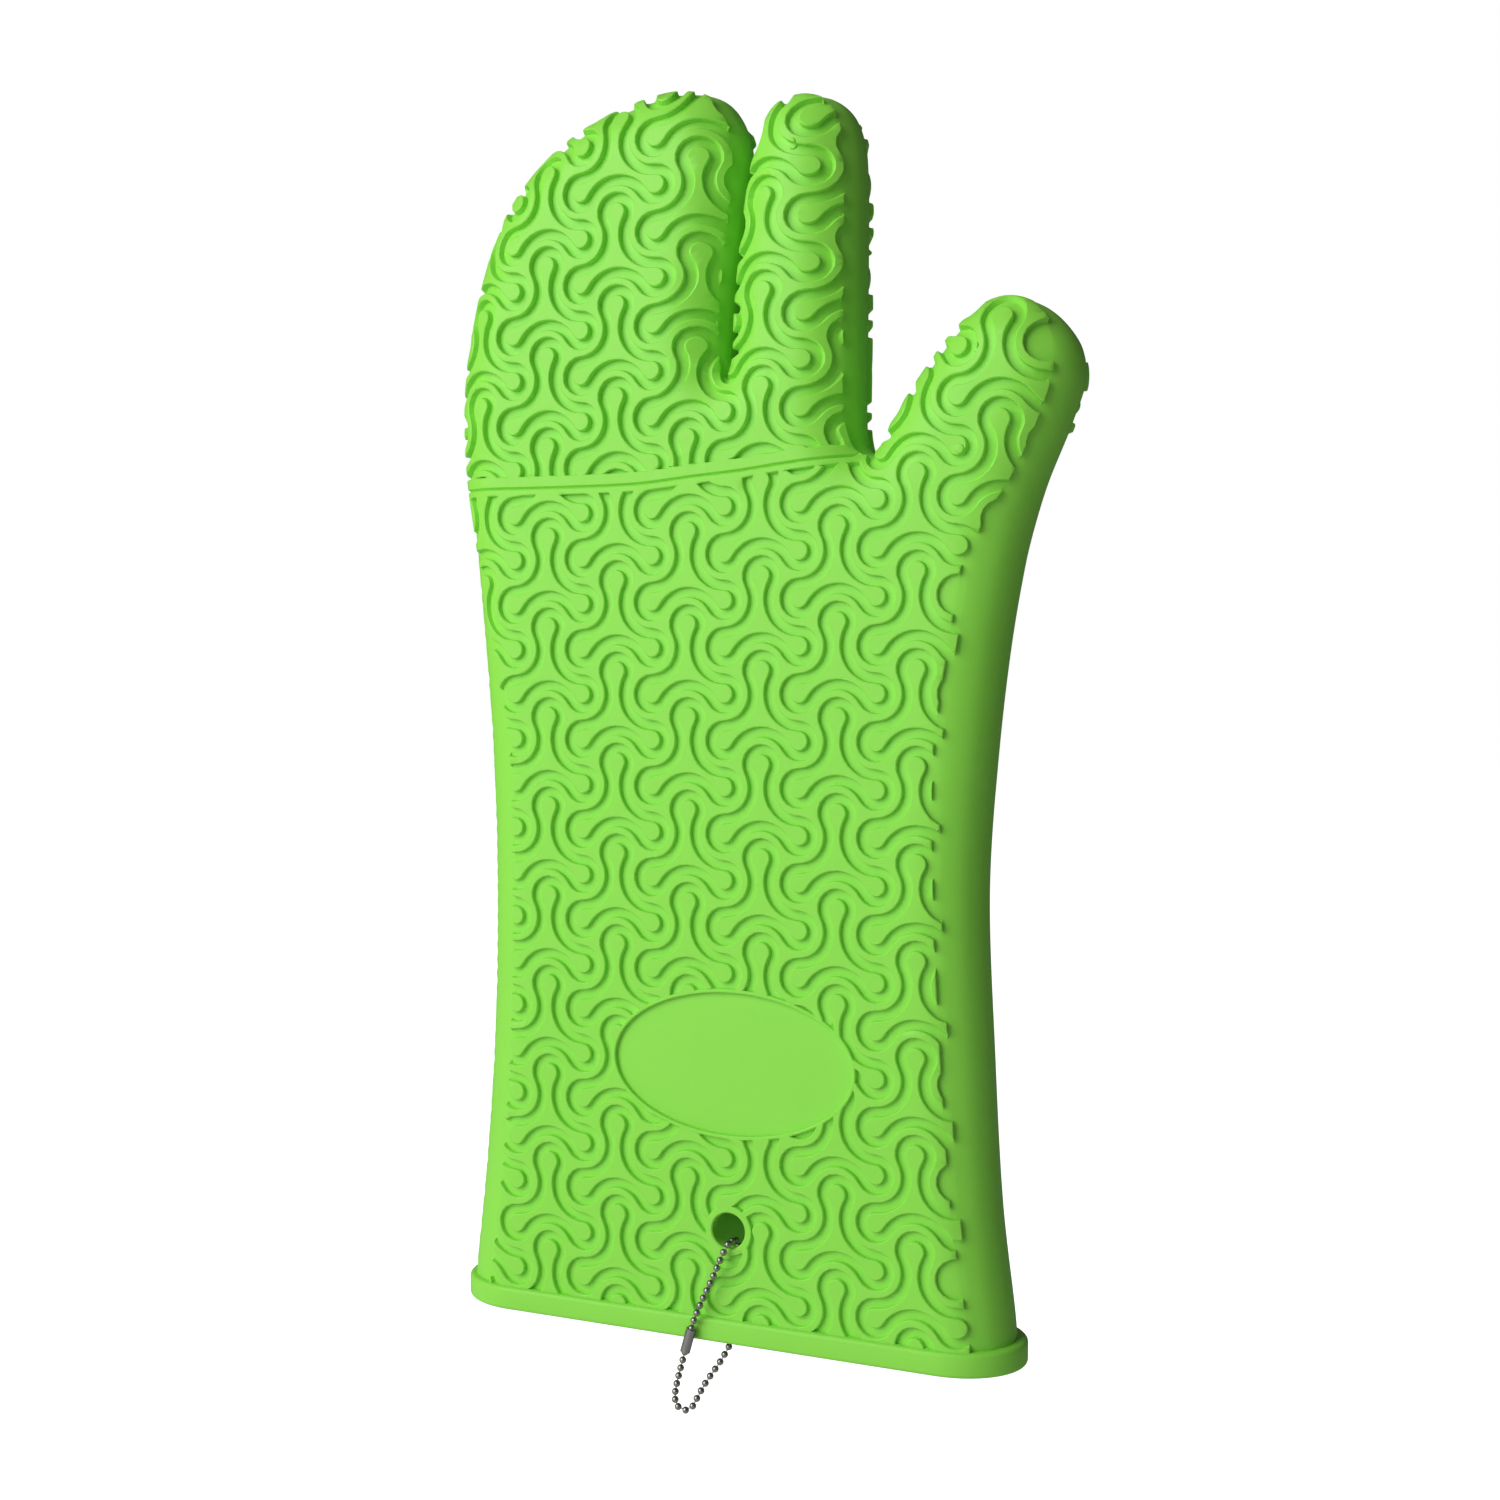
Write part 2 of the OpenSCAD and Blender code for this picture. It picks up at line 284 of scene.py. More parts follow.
def starCentres():
    pitch = pattern["pitch"]
    column = pitch * math.sqrt(3) / 2
    found = []
    for k in range(-5, 7):
        for m in range(-9, 9):
            x = pattern["centre"][0] + k * column
            z = pattern["centre"][1] + m * pitch + (pitch / 2 if k % 2 else 0)
            found.append((x, z))
    pts = np.array(found)
    return pts[signedDistance(np.vstack([outline, farDown]), pts) > -pattern["past"]]


# The lattice is drawn out a little towards the right side of each finger
stretch = dict(pocketSide=2.4, pocketFrom=(-34, -4), pocketTo=(-2, 6), indexSide=2.4, indexFrom=(11, 30),
               indexTo=(40, 56), fingerLow=258.0, fingerHigh=292.0, rounds=12)


def stretched(pts):
    x = pts[:, 0]
    pocketMove = stretch["pocketSide"] * smoothStep(x, *stretch["pocketFrom"])
    pocketMove *= 1 - smoothStep(x, *stretch["pocketTo"])
    indexMove = stretch["indexSide"] * smoothStep(x, *stretch["indexFrom"])
    indexMove *= 1 - smoothStep(x, *stretch["indexTo"])
    onFinger = smoothStep(pts[:, 1], stretch["fingerLow"], stretch["fingerHigh"])
    return np.column_stack([onFinger * (pocketMove + indexMove), np.zeros(len(pts))])


def unstretched(pts):
    found = pts.copy()
    for _ in range(stretch["rounds"]):
        found = pts - stretched(found)
    return found


def starOffset(pts, centres):
    half = pattern["pitch"] / 2
    best = np.full(len(pts), 50.0)
    for c in centres:
        rel = pts - c
        near = (rel ** 2).sum(1) < pattern["starReach"] ** 2
        if not near.any():
            continue
        p = rel[near]
        angle = np.arctan2(p[:, 1], p[:, 0])
        radius = np.hypot(p[:, 0], p[:, 1])
        local = np.abs(np.mod(angle - math.pi / 2 + math.pi / 3, 2 * math.pi / 3) - math.pi / 3)
        x = radius * np.sin(local)
        z = radius * np.cos(local)
        wx = half * math.sin(math.pi / 3)
        wz = half * math.cos(math.pi / 3)
        toKnob = np.hypot(x, z - half)
        toWaist = np.hypot(x - wx, z - wz)
        side = wx * (z - half) - (wz - half) * x
        d = np.where(side > 0, toKnob - pattern["knob"], half - pattern["knob"] - toWaist)
        best[near] = np.minimum(best[near], d)
    return best


# Features that break the pattern
crease = dict(points=[(-90, 233.6), (-72, 232.9), (-46, 232.2), (-21, 232.1), (-5.9, 233.2), (9.2, 234.2),
                      (22.4, 235.5), (34, 236.3), (43.4, 236.4), (56, 236.4)],
              below=2.0, above=3.4, width=0.5, depth=0.75, start=-80.6, end=39.0)
badge = dict(centre=(6.0, 75.5), halfWidth=34.9, halfHeight=19.2, band=1.1)
hole = dict(centre=(5.4, 30.5), radius=4.85, band=2.0, steps=44, lip=0.35, dip=0.3)
dots = dict(places=[(69.7, 236.5), (23.5, 318.5), (73.5, 262.0)], radius=1.3, height=0.45,
            rings=[0.55, 0.85, 1.0], levels=[1, 0.8, 0])

creaseLine = curveThrough(crease["points"], 1.6)
creaseUp = -unitNormals(creaseLine)
badgeTurns = np.linspace(0, 2 * math.pi, 96, endpoint=False)
badgeUnit = np.stack([np.cos(badgeTurns), np.sin(badgeTurns)], 1)
badgeLoop = np.array(badge["centre"]) + badgeUnit * [badge["halfWidth"], badge["halfHeight"]]
holeTurns = np.linspace(0, 2 * math.pi, hole["steps"], endpoint=False)
holeUnit = np.stack([np.cos(holeTurns), np.sin(holeTurns)], 1)
centres = starCentres()

# Stars centred past the right edge stay flat, so only the ribbon that winds round them shows
nearestEdge = np.array([np.argmin(((outline - c) ** 2).sum(1)) for c in centres])
tipPlace = np.array(thumbPoint(thumb["tip"][0], thumb["tip"][1], 0)[:2])
thumbTip = np.argmin(((outline - tipPlace) ** 2).sum(1))
isFlat = (nearestEdge > thumbTip) & (signedDistance(patternArea, centres) < -2)
flatCentres = centres[isFlat]
raisedCentres = centres[~isFlat]
print("pattern has", len(raisedCentres), "raised stars a side")


def creaseOffset(pts):
    z = np.interp(pts[:, 0], creaseLine[:, 0], creaseLine[:, 1])
    return pts[:, 1] - z


def reliefHeight(pts, front):
    flatPts = unstretched(pts)
    offset = starOffset(flatPts, raisedCentres)
    star = rise(-offset)
    ribbon = rise(np.minimum(offset, starOffset(flatPts, flatCentres)) - pattern["groove"])
    onRight = (pts[:, 0] > 40) & (pts[:, 1] < reach["ribbonTop"])
    ribbon[onRight] = np.minimum(ribbon[onRight], rise(signedDistance(ribbonArea, pts[onRight])))
    area = signedDistance(patternArea if front else backArea, pts)
    height = np.maximum(star, ribbon)
    fold = creaseOffset(pts)
    band = np.minimum(rise(fold + crease["below"]), rise(crease["above"] - fold))
    band = np.minimum(band, smoothStep(crease["end"] + 4 - pts[:, 0], 0, 2))
    height = np.maximum(height, band)
    if front:
        badgeDistance = -signedDistance(badgeLoop, pts)
        ring = rise(badge["band"] - badgeDistance)
        height = np.minimum(np.maximum(height, ring), rise(badgeDistance))
        fromHole = np.hypot(pts[:, 0] - hole["centre"][0], pts[:, 1] - hole["centre"][1]) - hole["radius"]
        height = np.maximum(height, rise(hole["band"] - fromHole))
    height = np.minimum(height, rise(area))
    line = np.clip(1 - np.abs(fold) / crease["width"], 0, 1)
    line = line * (pts[:, 0] < crease["end"])
    share = smoothStep(pts[:, 1], body["reliefLow"], body["reliefHigh"])
    full = body["palmRelief"] * (1 - share) + body["tipRelief"] * share
    return height * full - line * crease["depth"]


def reliefLines(front):
    lines = []
    starLoops = [starLoop(-s[0]) for s in wallSteps]
    ribbonLoops = [starLoop(pattern["groove"] + s[0]) for s in wallSteps]
    for c, flat in zip(centres, isFlat):
        for loop in ribbonLoops if flat else starLoops + ribbonLoops:
            lines.append((loop + c + stretched(loop + c), True, "star"))
    for s, _ in wallSteps:
        edgeMargins = margins if front else backMargins
        lines.append((outline + inward * (edgeMargins + s)[:, None], False, "edge"))
        ribbonEnd = outline + inward * (ribbonMargins + s)[:, None]
        lines.append((ribbonEnd[ribbonShare == 1], False, "edge"))
        lines.append((creaseLine + creaseUp * (s - crease["below"]), False, "crease"))
        lines.append((creaseLine + creaseUp * (crease["above"] - s), False, "crease"))
        if front:
            for grow in (s, badge["band"] - s):
                size = [badge["halfWidth"] + grow, badge["halfHeight"] + grow]
                lines.append((np.array(badge["centre"]) + badgeUnit * size, True, "badge"))
            bandRadius = hole["radius"] + hole["band"] - s
            lines.append((np.array(hole["centre"]) + holeUnit * bandRadius, True, "hole"))
    for s in (-crease["width"], 0, crease["width"]):
        lines.append((creaseLine + creaseUp * s, False, "crease"))
    for place in dots["places"]:
        for r in dots["rings"]:
            lines.append((np.array(place) + holeUnit[::3] * dots["radius"] * r, True, "dot"))
    return lines


# How finely the skins are divided, and where they are cut into pieces
mesh = dict(splitStep=1.4, seamGap=0.25, areaGap=0.6, creaseGap=0.8, badgeGap=0.9, holeGap=0.8,
            creasePast=5, slopeStep=0.25, sharpAngle=28)
cuts = dict(crotch=(1.4, 261.2), crotchSkip=40, left=-81, right=36.8, root=(42.2, 237.4), thumbWidth=47.2,
            rootSlack=1.5, rootLeft=40.0, between=1.4, lean=0.075, leanFrom=267)


# Triangulates one side of the mitt in its flat plan so that every wall of the pattern lies on mesh edges
def triangulate(boundary, splits, lines, loose, holeLoop):
    verts = []
    edges = []

    def addLine(pts, closed, keep=None):
        start = len(verts)
        verts.extend([tuple(p) for p in pts])
        last = len(pts) if closed else len(pts) - 1
        for i in range(last):
            j = (i + 1) % len(pts)
            if keep is None or (keep[i] and keep[j]):
                edges.append((start + i, start + j))

    addLine(boundary, False)
    for a, b in splits + [(len(boundary) - 1, 0)]:
        first = np.array(verts[a])
        last = np.array(verts[b])
        count = max(2, int(np.linalg.norm(last - first) / mesh["splitStep"]))
        between = [first + (last - first) * k / count for k in range(1, count)]
        start = len(verts)
        verts.extend([tuple(p) for p in between])
        chain = [a] + list(range(start, start + len(between))) + [b]
        edges += list(zip(chain[:-1], chain[1:]))
    holeStart = len(verts)
    if holeLoop is not None:
        addLine(holeLoop, True)
    for pts, closed, keep in lines:
        addLine(pts, closed, keep)
    used = np.zeros(len(verts), bool)
    for a, b in edges:
        used[a] = True
        used[b] = True
    index = -np.ones(len(verts), int)
    index[used] = np.arange(used.sum())
    allVerts = np.array(verts)[used]
    if len(loose):
        allVerts = np.vstack([allVerts, loose])
    allEdges = [(int(index[a]), int(index[b])) for a, b in edges]
    out = delaunay_2d_cdt([Vector(v) for v in allVerts], allEdges, [], 0, 1e-5, True)
    points = np.array([(v[0], v[1]) for v in out[0]])
    faces = np.array([tuple(f) for f in out[2] if len(f) == 3])
    place = {}
    for k, origins in enumerate(out[3]):
        for o in origins:
            place[o] = k
    rim = [place[int(index[i])] for i in range(len(boundary))]
    ring = []
    if holeLoop is not None:
        ring = [place[int(index[holeStart + i])] for i in range(len(holeLoop))]
    centre = points[faces].mean(1)
    keepFace = isInside(boundary, centre)
    if holeLoop is not None:
        keepFace &= ~isInside(holeLoop, centre)
    faces = faces[keepFace]
    flip = np.cross(points[faces[:, 1]] - points[faces[:, 0]], points[faces[:, 2]] - points[faces[:, 0]]) < 0
    faces[flip] = faces[flip][:, ::-1]
    return points, faces, rim, ring


def nearestIndex(line, x, z):
    return int(np.argmin((line[:, 0] - x) ** 2 + (line[:, 1] - z) ** 2))


def splitEnds(line):
    crotch = nearestIndex(line, *cuts["crotch"])
    level = line[crotch, 1]
    left = nearestIndex(line[:crotch - cuts["crotchSkip"]], cuts["left"], level)
    right = nearestIndex(line, cuts["right"], level)
    root = nearestIndex(line, *cuts["root"])
    dx, dz = thumb["across"]
    width = cuts["thumbWidth"]
    edge = nearestIndex(line, line[root, 0] + width * dx, line[root, 1] + width * dz)
    return [(left, crotch), (crotch, right), (root, edge)], level, root


def loosePoints(step, low, high):
    xs = np.arange(-84, 112, step)
    zs = np.arange(3, 340, step * 0.866)
    pts = np.array([(x + (step / 2 if i % 2 else 0), z) for i, z in enumerate(zs) for x in xs])
    inset = distanceTo(openLine, pts)
    return pts[isInside(outline, pts) & (inset > low) & (inset < high)]


meshVerts = []
meshFaces = []


def addVerts(array):
    start = sum(len(a) for a in meshVerts)
    meshVerts.append(array)
    return start


def addFaces(array):
    meshFaces.append(np.asarray(array, int).reshape(-1, 3))


def quadFaces(a, b, c, d):
    return [(a, b, c), (a, c, d)]


# The outer skin of one side, front (sign -1) or back (sign +1)
def outerSide(sign):
    front = sign < 0
    splits, level, root = splitEnds(seamCurve)
    lines = []
    found = reliefLines(front)
    every = np.vstack([line[0] for line in found])
    allArea = signedDistance(patternArea if front else backArea, every)
    allFold = creaseOffset(every)
    allSeam = signedDistance(seamCurve, every)
    allBadge = -signedDistance(badgeLoop, every)
    start = 0
    for pts, closed, kind in found:
        part = slice(start, start + len(pts))
        start += len(pts)
        fold = allFold[part]
        keep = allSeam[part] > mesh["seamGap"]
        if kind == "star":
            keep &= allArea[part] > -mesh["areaGap"]
            underFold = fold < -crease["below"] + mesh["creaseGap"]
            overFold = fold > crease["above"] - mesh["creaseGap"]
            keep &= underFold | overFold | (pts[:, 0] > crease["end"])
            if front:
                fromHole = np.hypot(pts[:, 0] - hole["centre"][0], pts[:, 1] - hole["centre"][1])
                keep &= allBadge[part] > badge["band"] - mesh["badgeGap"]
                keep &= fromHole > hole["radius"] + hole["band"] - mesh["holeGap"]
        elif kind == "crease":
            keep &= (pts[:, 0] < crease["end"] + mesh["creasePast"]) & (pts[:, 0] > crease["start"])
        if keep.any():
            lines.append((pts, closed, keep))
    holeLoop = None
    if front:
        holeLoop = np.array(hole["centre"]) + holeUnit * hole["radius"]
        lipLoop = np.array(hole["centre"]) + holeUnit * (hole["radius"] + hole["lip"])
        lines.append((lipLoop, True, np.ones(len(holeUnit), bool)))
    loose = np.vstack([loosePoints(2.4, 1.2, 15.5), loosePoints(7, 15.5, 200)])
    points, faces, rim, ring = triangulate(seamCurve, splits, lines, loose, holeLoop)
    print("side", "front" if front else "back", "has", len(points), "points,", len(faces), "faces")
    height = baseHeight(points)[0]
    step = mesh["slopeStep"]
    right = baseHeight(points + [step, 0])[0]
    left = baseHeight(points - [step, 0])[0]
    up = baseHeight(points + [0, step])[0]
    down = baseHeight(points - [0, step])[0]
    slope = np.stack([(right - left) / (2 * step), (up - down) / (2 * step)], 1)
    onRim = np.zeros(len(points), bool)
    onRim[rim] = True
    height[onRim] = edgeProfile(body["seam"], body["halfDepth"], body["edge"])
    relief = reliefHeight(points, front)
    for place in dots["places"]:
        r = np.hypot(points[:, 0] - place[0], points[:, 1] - place[1]) / dots["radius"]
        bead = np.interp(r, dots["rings"], dots["levels"]) * dots["height"]
        relief = np.maximum(relief, bead + np.where(r < 1.0, relief, 0))
    relief[onRim] = 0
    if front:
        edgeRing = np.zeros(len(points), bool)
        edgeRing[ring] = True
        relief[edgeRing] -= hole["dip"]
    normal = np.stack([-slope[:, 0], np.ones(len(points)), -slope[:, 1]], 1)
    normal /= np.linalg.norm(normal, axis=1)[:, None]
    xyz = np.stack([points[:, 0], height, points[:, 1]], 1) + normal * relief[:, None]
    xyz[:, 1] *= sign
    start = addVerts(xyz)
    if not front:
        faces = faces[:, ::-1]
    addFaces(faces + start)
    return [start + i for i in rim], [start + i for i in ring], level, root


# Joins front and back around the edge with a smooth rounded wall
def edgeWall(line, normals, depth, edge, seam, frontRim, backRim, outer, rows=7):
    top = math.acos(1 - seam / edge)
    angles = np.linspace(top, -top, rows + 1)[1:-1]
    bands = [list(frontRim)]
    for a in angles:
        p = line + normals * edge * (1 - math.cos(a))
        p[0, 1] = line[0, 1]
        p[-1, 1] = line[-1, 1]
        y = np.full(len(p), -depth * math.sin(a))
        start = addVerts(np.stack([p[:, 0], y, p[:, 1]], 1))
        bands.append([start + i for i in range(len(p))])
    bands.append(list(backRim))
    faces = []
    for a, b in zip(bands[:-1], bands[1:]):
        for i in range(len(line) - 1):
            if outer:
                faces += quadFaces(a[i], a[i + 1], b[i + 1], b[i])
            else:
                faces += quadFaces(a[i], b[i], b[i + 1], a[i + 1])
    addFaces(faces)


frontRim, frontRing, splitLevel, rootIndex = outerSide(-1)
backRim, _, _, _ = outerSide(1)
edgeWall(outline, inward, body["halfDepth"], body["edge"], body["seam"], frontRim, backRim, True)
print("outer skin made")

# The inner skin, one wall thickness further in
innerDepth = body["halfDepth"] - body["wall"]
innerEdge = body["edge"] - body["wall"]
innerSeam = 1.0
innerLine = outline + inward * body["wall"]
innerLine[0, 1] = bottomLeft[1]
innerLine[-1, 1] = bottomRight[1]
innerBoundary = outline + inward * (body["wall"] + innerSeam)
innerBoundary[0, 1] = bottomLeft[1]
innerBoundary[-1, 1] = bottomRight[1]


def innerSide(sign):
    front = sign < 0
    splits, _, _ = splitEnds(innerBoundary)
    holeLoop = np.array(hole["centre"]) + holeUnit * hole["radius"] if front else None
    loose = np.vstack([loosePoints(3.5, 3.6, 16), loosePoints(7, 16, 200)])
    points, faces, rim, ring = triangulate(innerBoundary, splits, [], loose, holeLoop)
    outside, inset = baseHeight(points)
    exact = edgeProfile(inset - body["wall"], innerDepth, innerEdge)
    share = smoothStep(inset, 4, 8)
    height = exact * (1 - share) + np.minimum(exact + 0.6, outside - body["wall"]) * share
    onRim = np.zeros(len(points), bool)
    onRim[rim] = True
    height[onRim] = edgeProfile(innerSeam, innerDepth, innerEdge)
    start = addVerts(np.stack([points[:, 0], height * sign, points[:, 1]], 1))
    if front:
        faces = faces[:, ::-1]
    addFaces(faces + start)
    return [start + i for i in rim], [start + i for i in ring]


innerFront, innerRing = innerSide(-1)
innerBack, _ = innerSide(1)
edgeWall(innerLine, inward, innerDepth, innerEdge, innerSeam, innerFront, innerBack, False, rows=5)
holeWall = []
for i in range(hole["steps"]):
    j = (i + 1) % hole["steps"]
    holeWall += quadFaces(frontRing[i], frontRing[j], innerRing[j], innerRing[i])
addFaces(holeWall)
print("inner skin made")


# Materials
def newMaterial(name):
    mat = bpy.data.materials.new(name)
    mat.use_nodes = True
    nodes = mat.node_tree.nodes
    return mat, nodes, mat.node_tree.links, nodes["Principled BSDF"]


silicone = dict(colour=(0.275, 0.760, 0.078), darker=(0.258, 0.725, 0.068), roughness=0.46, roughSpread=0.05,
                mottleScale=26, grainScale=1400, grain=0.06, grainDepth=0.0002, ior=1.42, specular=0.4,
                glow=0.12, glowColour=(0.5, 1.0, 0.3), glowDepth=0.002)


def siliconeMaterial():
    mat, nodes, links, shader = newMaterial("silicone_green")
    place = nodes.new("ShaderNodeTexCoord")
    broad = nodes.new("ShaderNodeTexNoise")
    broad.inputs["Scale"].default_value = silicone["mottleScale"]
    broad.inputs["Detail"].default_value = 3
    fine = nodes.new("ShaderNodeTexNoise")
    fine.inputs["Scale"].default_value = silicone["grainScale"]
    fine.inputs["Detail"].default_value = 2
    links.new(place.outputs["Object"], broad.inputs["Vector"])
    links.new(place.outputs["Object"], fine.inputs["Vector"])
    mix = nodes.new("ShaderNodeMix")
    mix.data_type = "RGBA"
    mix.inputs["A"].default_value = (*silicone["darker"], 1)
    mix.inputs["B"].default_value = (*silicone["colour"], 1)
    links.new(broad.outputs["Fac"], mix.inputs["Factor"])
    links.new(mix.outputs["Result"], shader.inputs["Base Color"])
    rough = nodes.new("ShaderNodeMapRange")
    rough.inputs["To Min"].default_value = silicone["roughness"] - silicone["roughSpread"]
    rough.inputs["To Max"].default_value = silicone["roughness"] + silicone["roughSpread"]
    links.new(broad.outputs["Fac"], rough.inputs["Value"])
    links.new(rough.outputs["Result"], shader.inputs["Roughness"])
    bump = nodes.new("ShaderNodeBump")
    bump.inputs["Strength"].default_value = silicone["grain"]
    bump.inputs["Distance"].default_value = silicone["grainDepth"]
    links.new(fine.outputs["Fac"], bump.inputs["Height"])
    links.new(bump.outputs["Normal"], shader.inputs["Normal"])
    shader.inputs["IOR"].default_value = silicone["ior"]
    shader.inputs["Specular IOR Level"].default_value = silicone["specular"]
    shader.inputs["Subsurface Weight"].default_value = silicone["glow"]
    shader.inputs["Subsurface Radius"].default_value = silicone["glowColour"]
    shader.inputs["Subsurface Scale"].default_value = silicone["glowDepth"]
    return mat


steel = dict(colour=(0.34, 0.335, 0.325), shade=0.8, scale=900, roughness=0.3, smoother=0.06, rougher=0.1)


def steelMaterial():
    mat, nodes, links, shader = newMaterial("chain_nickel")
    place = nodes.new("ShaderNodeTexCoord")
    noise = nodes.new("ShaderNodeTexNoise")
    noise.inputs["Scale"].default_value = steel["scale"]
    noise.inputs["Detail"].default_value = 3
    links.new(place.outputs["Object"], noise.inputs["Vector"])
    mix = nodes.new("ShaderNodeMix")
    mix.data_type = "RGBA"
    mix.inputs["A"].default_value = (*[c * steel["shade"] for c in steel["colour"]], 1)
    mix.inputs["B"].default_value = (*steel["colour"], 1)
    links.new(noise.outputs["Fac"], mix.inputs["Factor"])
    links.new(mix.outputs["Result"], shader.inputs["Base Color"])
    rough = nodes.new("ShaderNodeMapRange")
    rough.inputs["To Min"].default_value = steel["roughness"] - steel["smoother"]
    rough.inputs["To Max"].default_value = steel["roughness"] + steel["rougher"]
    links.new(noise.outputs["Fac"], rough.inputs["Value"])
    links.new(rough.outputs["Result"], shader.inputs["Roughness"])
    shader.inputs["Metallic"].default_value = 1.0
    return mat


greenSilicone = siliconeMaterial()
nickelSteel = steelMaterial()

# One mesh for the whole skin first, so that shading runs on unbroken where the pieces meet
allVerts = np.vstack(meshVerts) * mm
allFaces = np.vstack(meshFaces)
whole = bpy.data.meshes.new("whole")
whole.vertices.add(len(allVerts))
whole.vertices.foreach_set("co", allVerts.ravel())
whole.loops.add(allFaces.size)
whole.loops.foreach_set("vertex_index", allFaces.ravel())
whole.polygons.add(len(allFaces))
whole.polygons.foreach_set("loop_start", np.arange(0, allFaces.size, 3))
whole.update(calc_edges=True)
whole.polygons.foreach_set("use_smooth", np.ones(len(allFaces), bool))
whole.set_sharp_from_angle(angle=math.radians(mesh["sharpAngle"]))
cornerNormals = np.zeros(allFaces.size * 3)
whole.corner_normals.foreach_get("vector", cornerNormals)
cornerNormals = cornerNormals.reshape(-1, 3, 3)
faceCentre = allVerts[allFaces].mean(1) / mm
across = np.array(thumb["across"])
lift = np.array(thumb["along"])
rootPoint = seamCurve[rootIndex]
plan = faceCentre[:, [0, 2]]
beyondRoot = ((plan - rootPoint) @ lift > 0) & ((plan - rootPoint) @ across > -cuts["rootSlack"])
beyondRoot &= plan[:, 0] > cuts["rootLeft"]
inFingers = (plan[:, 1] > splitLevel) & ~beyondRoot
inPocket = inFingers & (plan[:, 0] < cuts["between"] + (plan[:, 1] - cuts["leanFrom"]) * cuts["lean"])
inIndex = inFingers & ~inPocket


def pieceFrom(name, chosen):
    faces = allFaces[chosen]
    used, renamed = np.unique(faces, return_inverse=True)
    data = bpy.data.meshes.new(name)
    data.vertices.add(len(used))
    data.vertices.foreach_set("co", allVerts[used].ravel())
    data.loops.add(faces.size)
    data.loops.foreach_set("vertex_index", renamed.ravel())
    data.polygons.add(len(faces))
    data.polygons.foreach_set("loop_start", np.arange(0, faces.size, 3))
    data.update(calc_edges=True)
    data.polygons.foreach_set("use_smooth", np.ones(len(faces), bool))
    data.normals_split_custom_set([tuple(n) for n in cornerNormals[chosen].reshape(-1, 3)])
    data.materials.append(greenSilicone)
    piece = bpy.data.objects.new(name, data)
    scene.collection.objects.link(piece)
    print("piece", name, len(faces), "faces")
    return piece


gauntlet = pieceFrom("gauntlet_skin", ~beyondRoot & ~inFingers)
pocketSkin = pieceFrom("pocket_skin", inPocket)
indexSkin = pieceFrom("index_skin", inIndex)
thumbSkin = pieceFrom("thumb_skin", beyondRoot)
bpy.data.meshes.remove(whole)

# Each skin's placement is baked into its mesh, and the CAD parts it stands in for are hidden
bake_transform(gauntlet)
for skin, bodyName in ((pocketSkin, "pocket"), (indexSkin, "index")):
    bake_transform(skin)
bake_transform(thumbSkin)
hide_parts("palm_shell", "knuckle_shell")
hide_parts("finger_pocket")
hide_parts("index_finger")
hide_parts("thumb")
print("skins placed")

# The thick rim around the cuff's opening
rimSize = dict(halfWidth=83.5, halfDepth=16.7, endRadius=19.8, height=6.5, rounding=1.1, innerRounding=1.0,
               thickness=4.6, steps=72, flatSteps=50)


def rimPlan(inset):
    reachX = rimSize["halfWidth"] - inset
    reachY = rimSize["halfDepth"] - inset
    end = rimSize["endRadius"] - inset
    straight = reachX - end
    turn = np.linspace(-math.pi / 2, math.pi / 2, rimSize["steps"])
    right = np.stack([straight + end * np.cos(turn), reachY * np.sin(turn)], 1)
    flat = np.linspace(straight, -straight, rimSize["flatSteps"])[1:-1]
    top = np.stack([flat, np.full(len(flat), reachY)], 1)
    return np.vstack([right, top, -right, -top])


def makeRim():
    profile = []
    r = rimSize["rounding"]
    h = rimSize["height"]
    t = rimSize["thickness"]
    s = rimSize["innerRounding"]
    # Four rounded corners of the rim's section: centre inset, centre height, radius and turns
    corners = [(r, r, r, (-90, -180, 6)), (r, h - r, r, (180, 90, 6)), (t - s, h - s, s, (90, 0, 5)),
               (t - s, s, s, (0, -90, 5))]
    for inset, z, radius, turns in corners:
        for a in np.radians(np.linspace(*turns)):
            profile.append((inset + radius * math.cos(a), z + radius * math.sin(a)))
    rows = []
    for inset, z in profile:
        plan = rimPlan(inset)
        rows.append(np.column_stack([plan[:, 0], plan[:, 1], np.full(len(plan), z)]))
    count = len(rows[0])
    verts = np.vstack(rows) * mm
    faces = []
    for i in range(len(rows)):
        k = (i + 1) % len(rows)
        for j in range(count):
            n = (j + 1) % count
            faces.append((i * count + j, i * count + n, k * count + n, k * count + j))
    data = bpy.data.meshes.new("cuff_rim_skin")
    data.from_pydata([tuple(v) for v in verts], [], faces)
    data.polygons.foreach_set("use_smooth", np.ones(len(faces), bool))
    data.update()
    data.materials.append(greenSilicone)
    rim = bpy.data.objects.new("cuff_rim_skin", data)
    scene.collection.objects.link(rim)
    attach(rim, "palm")
    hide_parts("cuff_rim")
    print("piece cuff_rim_skin", len(faces), "faces")


makeRim()

# The metal ball chain keeps the exact shapes of the part
for name in ("chain_balls", "chain_links", "chain_connector"):
    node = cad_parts[name]
    node.data.materials.clear()
    node.data.materials.append(nickelSteel)

# Floor, backdrop and light
studio = dict(floorDrop=0.16, floorHalf=6, ambient=0.085, key=24.3, fill=1.7, aim=(0, 0, 0.17))


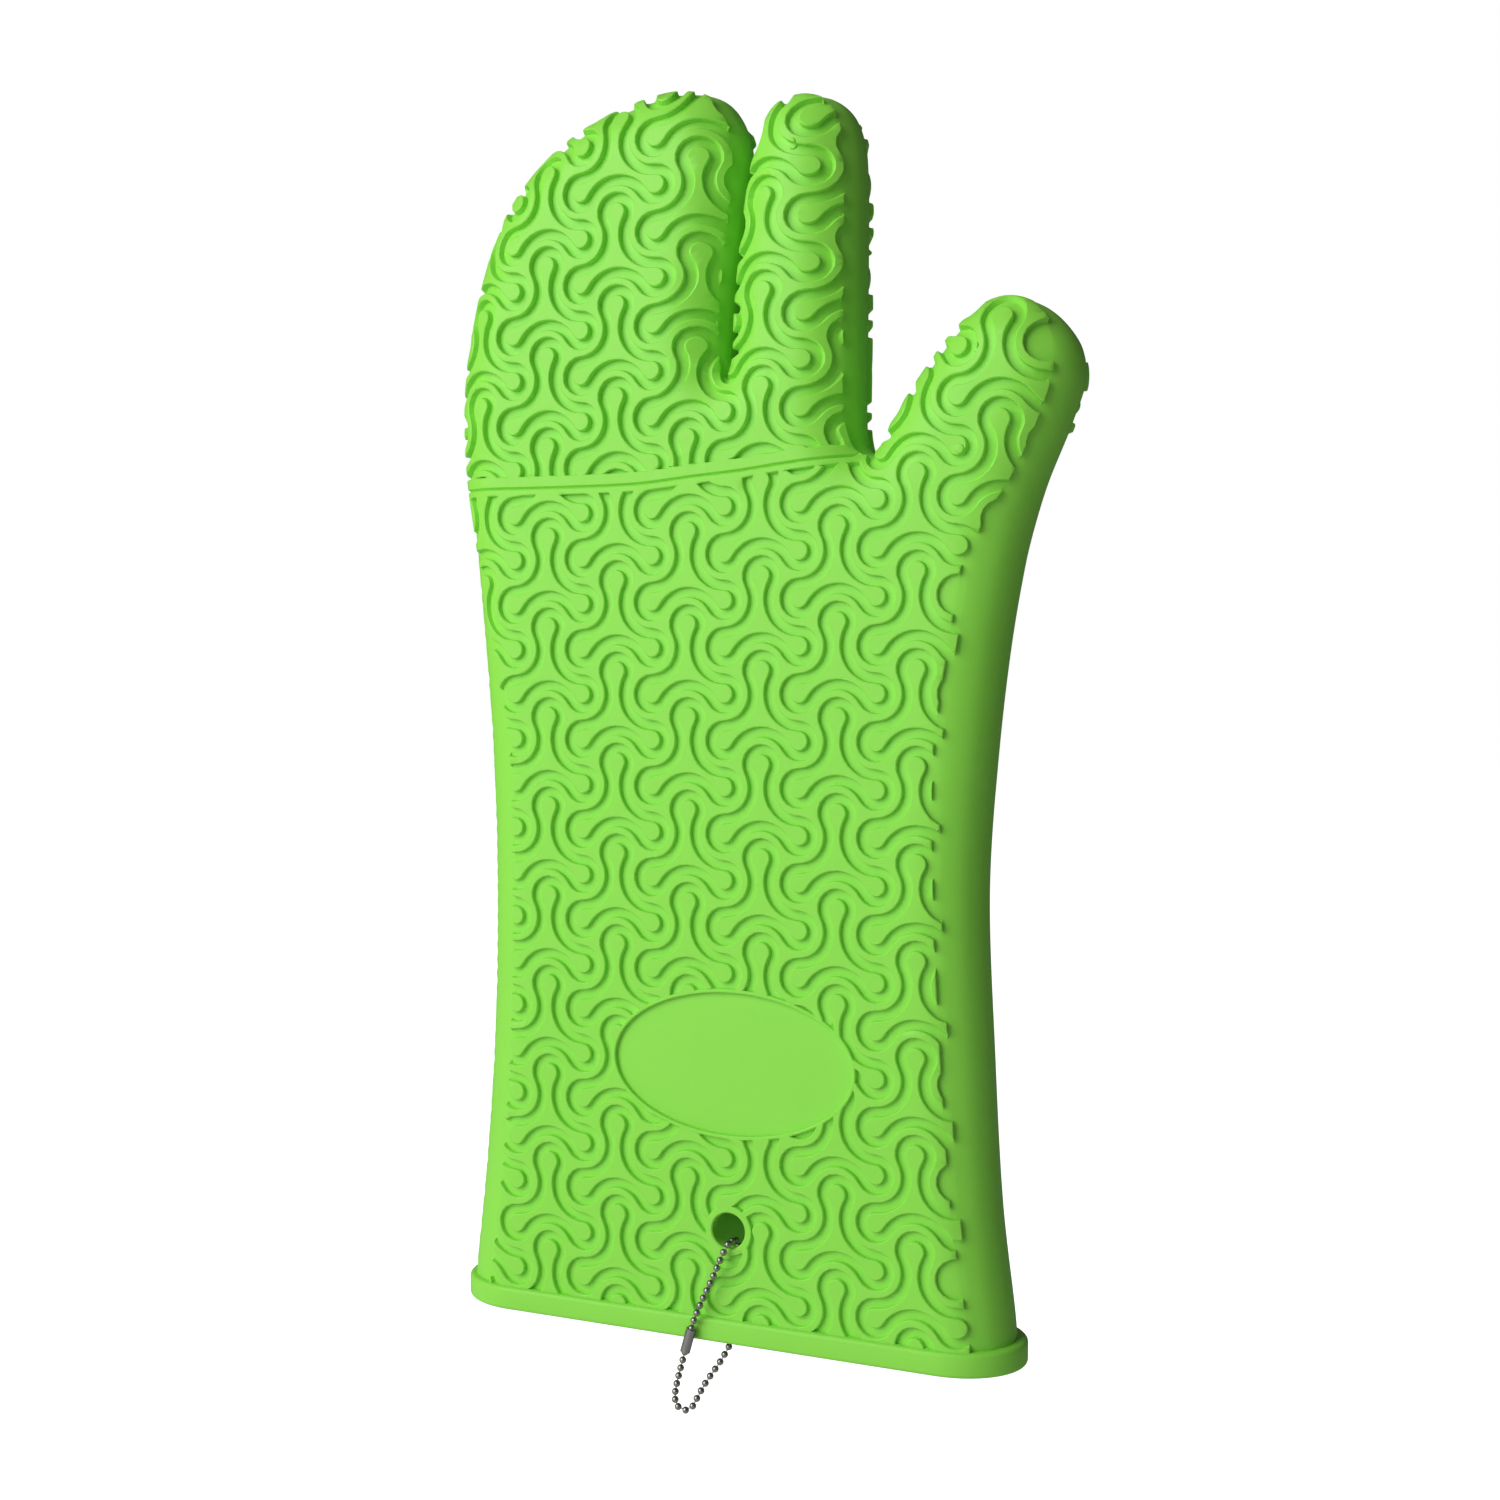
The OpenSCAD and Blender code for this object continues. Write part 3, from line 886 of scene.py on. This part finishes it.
def makeStage():
    data = bpy.data.meshes.new("studio_floor")
    z = -studio["floorDrop"]
    w = studio["floorHalf"]
    data.from_pydata([(-w, -w, z), (w, -w, z), (w, w, z), (-w, w, z)], [], [(0, 1, 2, 3)])
    floor = bpy.data.objects.new("studio_floor", data)
    scene.collection.objects.link(floor)
    mat, nodes, links, shader = newMaterial("studio_white")
    noise = nodes.new("ShaderNodeTexNoise")
    noise.inputs["Scale"].default_value = 3
    ramp = nodes.new("ShaderNodeMapRange")
    ramp.inputs["To Min"].default_value = 0.85
    ramp.inputs["To Max"].default_value = 0.9
    links.new(noise.outputs["Fac"], ramp.inputs["Value"])
    links.new(ramp.outputs["Result"], shader.inputs["Roughness"])
    shader.inputs["Base Color"].default_value = (0.9, 0.9, 0.9, 1)
    shader.inputs["Emission Color"].default_value = (1, 1, 1, 1)
    seen = nodes.new("ShaderNodeLightPath")
    links.new(seen.outputs["Is Camera Ray"], shader.inputs["Emission Strength"])
    data.materials.append(mat)


def areaLight(name, place, aim, size, power):
    data = bpy.data.lights.new(name, "AREA")
    data.shape = "RECTANGLE"
    data.size = size[0]
    data.size_y = size[1]
    data.energy = power
    light = bpy.data.objects.new(name, data)
    scene.collection.objects.link(light)
    light.location = place
    light.rotation_euler = facing(place, aim)


makeStage()
areaLight("key_light", (-0.72, -1.2, 0.85), studio["aim"], (1.3, 1.3), studio["key"])
areaLight("fill_light", (0.1, -1.6, 0.5), studio["aim"], (1.6, 1.2), studio["fill"])
world = bpy.data.worlds.new("studio_world")
world.use_nodes = True
backdrop = world.node_tree.nodes["Background"]
backdrop.inputs["Color"].default_value = (1, 1, 1, 1)
rays = world.node_tree.nodes.new("ShaderNodeLightPath")
strength = world.node_tree.nodes.new("ShaderNodeMapRange")
strength.inputs["To Min"].default_value = studio["ambient"]
strength.inputs["To Max"].default_value = 1.0
world.node_tree.links.new(rays.outputs["Is Camera Ray"], strength.inputs["Value"])
world.node_tree.links.new(strength.outputs["Result"], backdrop.inputs["Strength"])
scene.world = world
scene.view_settings.view_transform = "Standard"
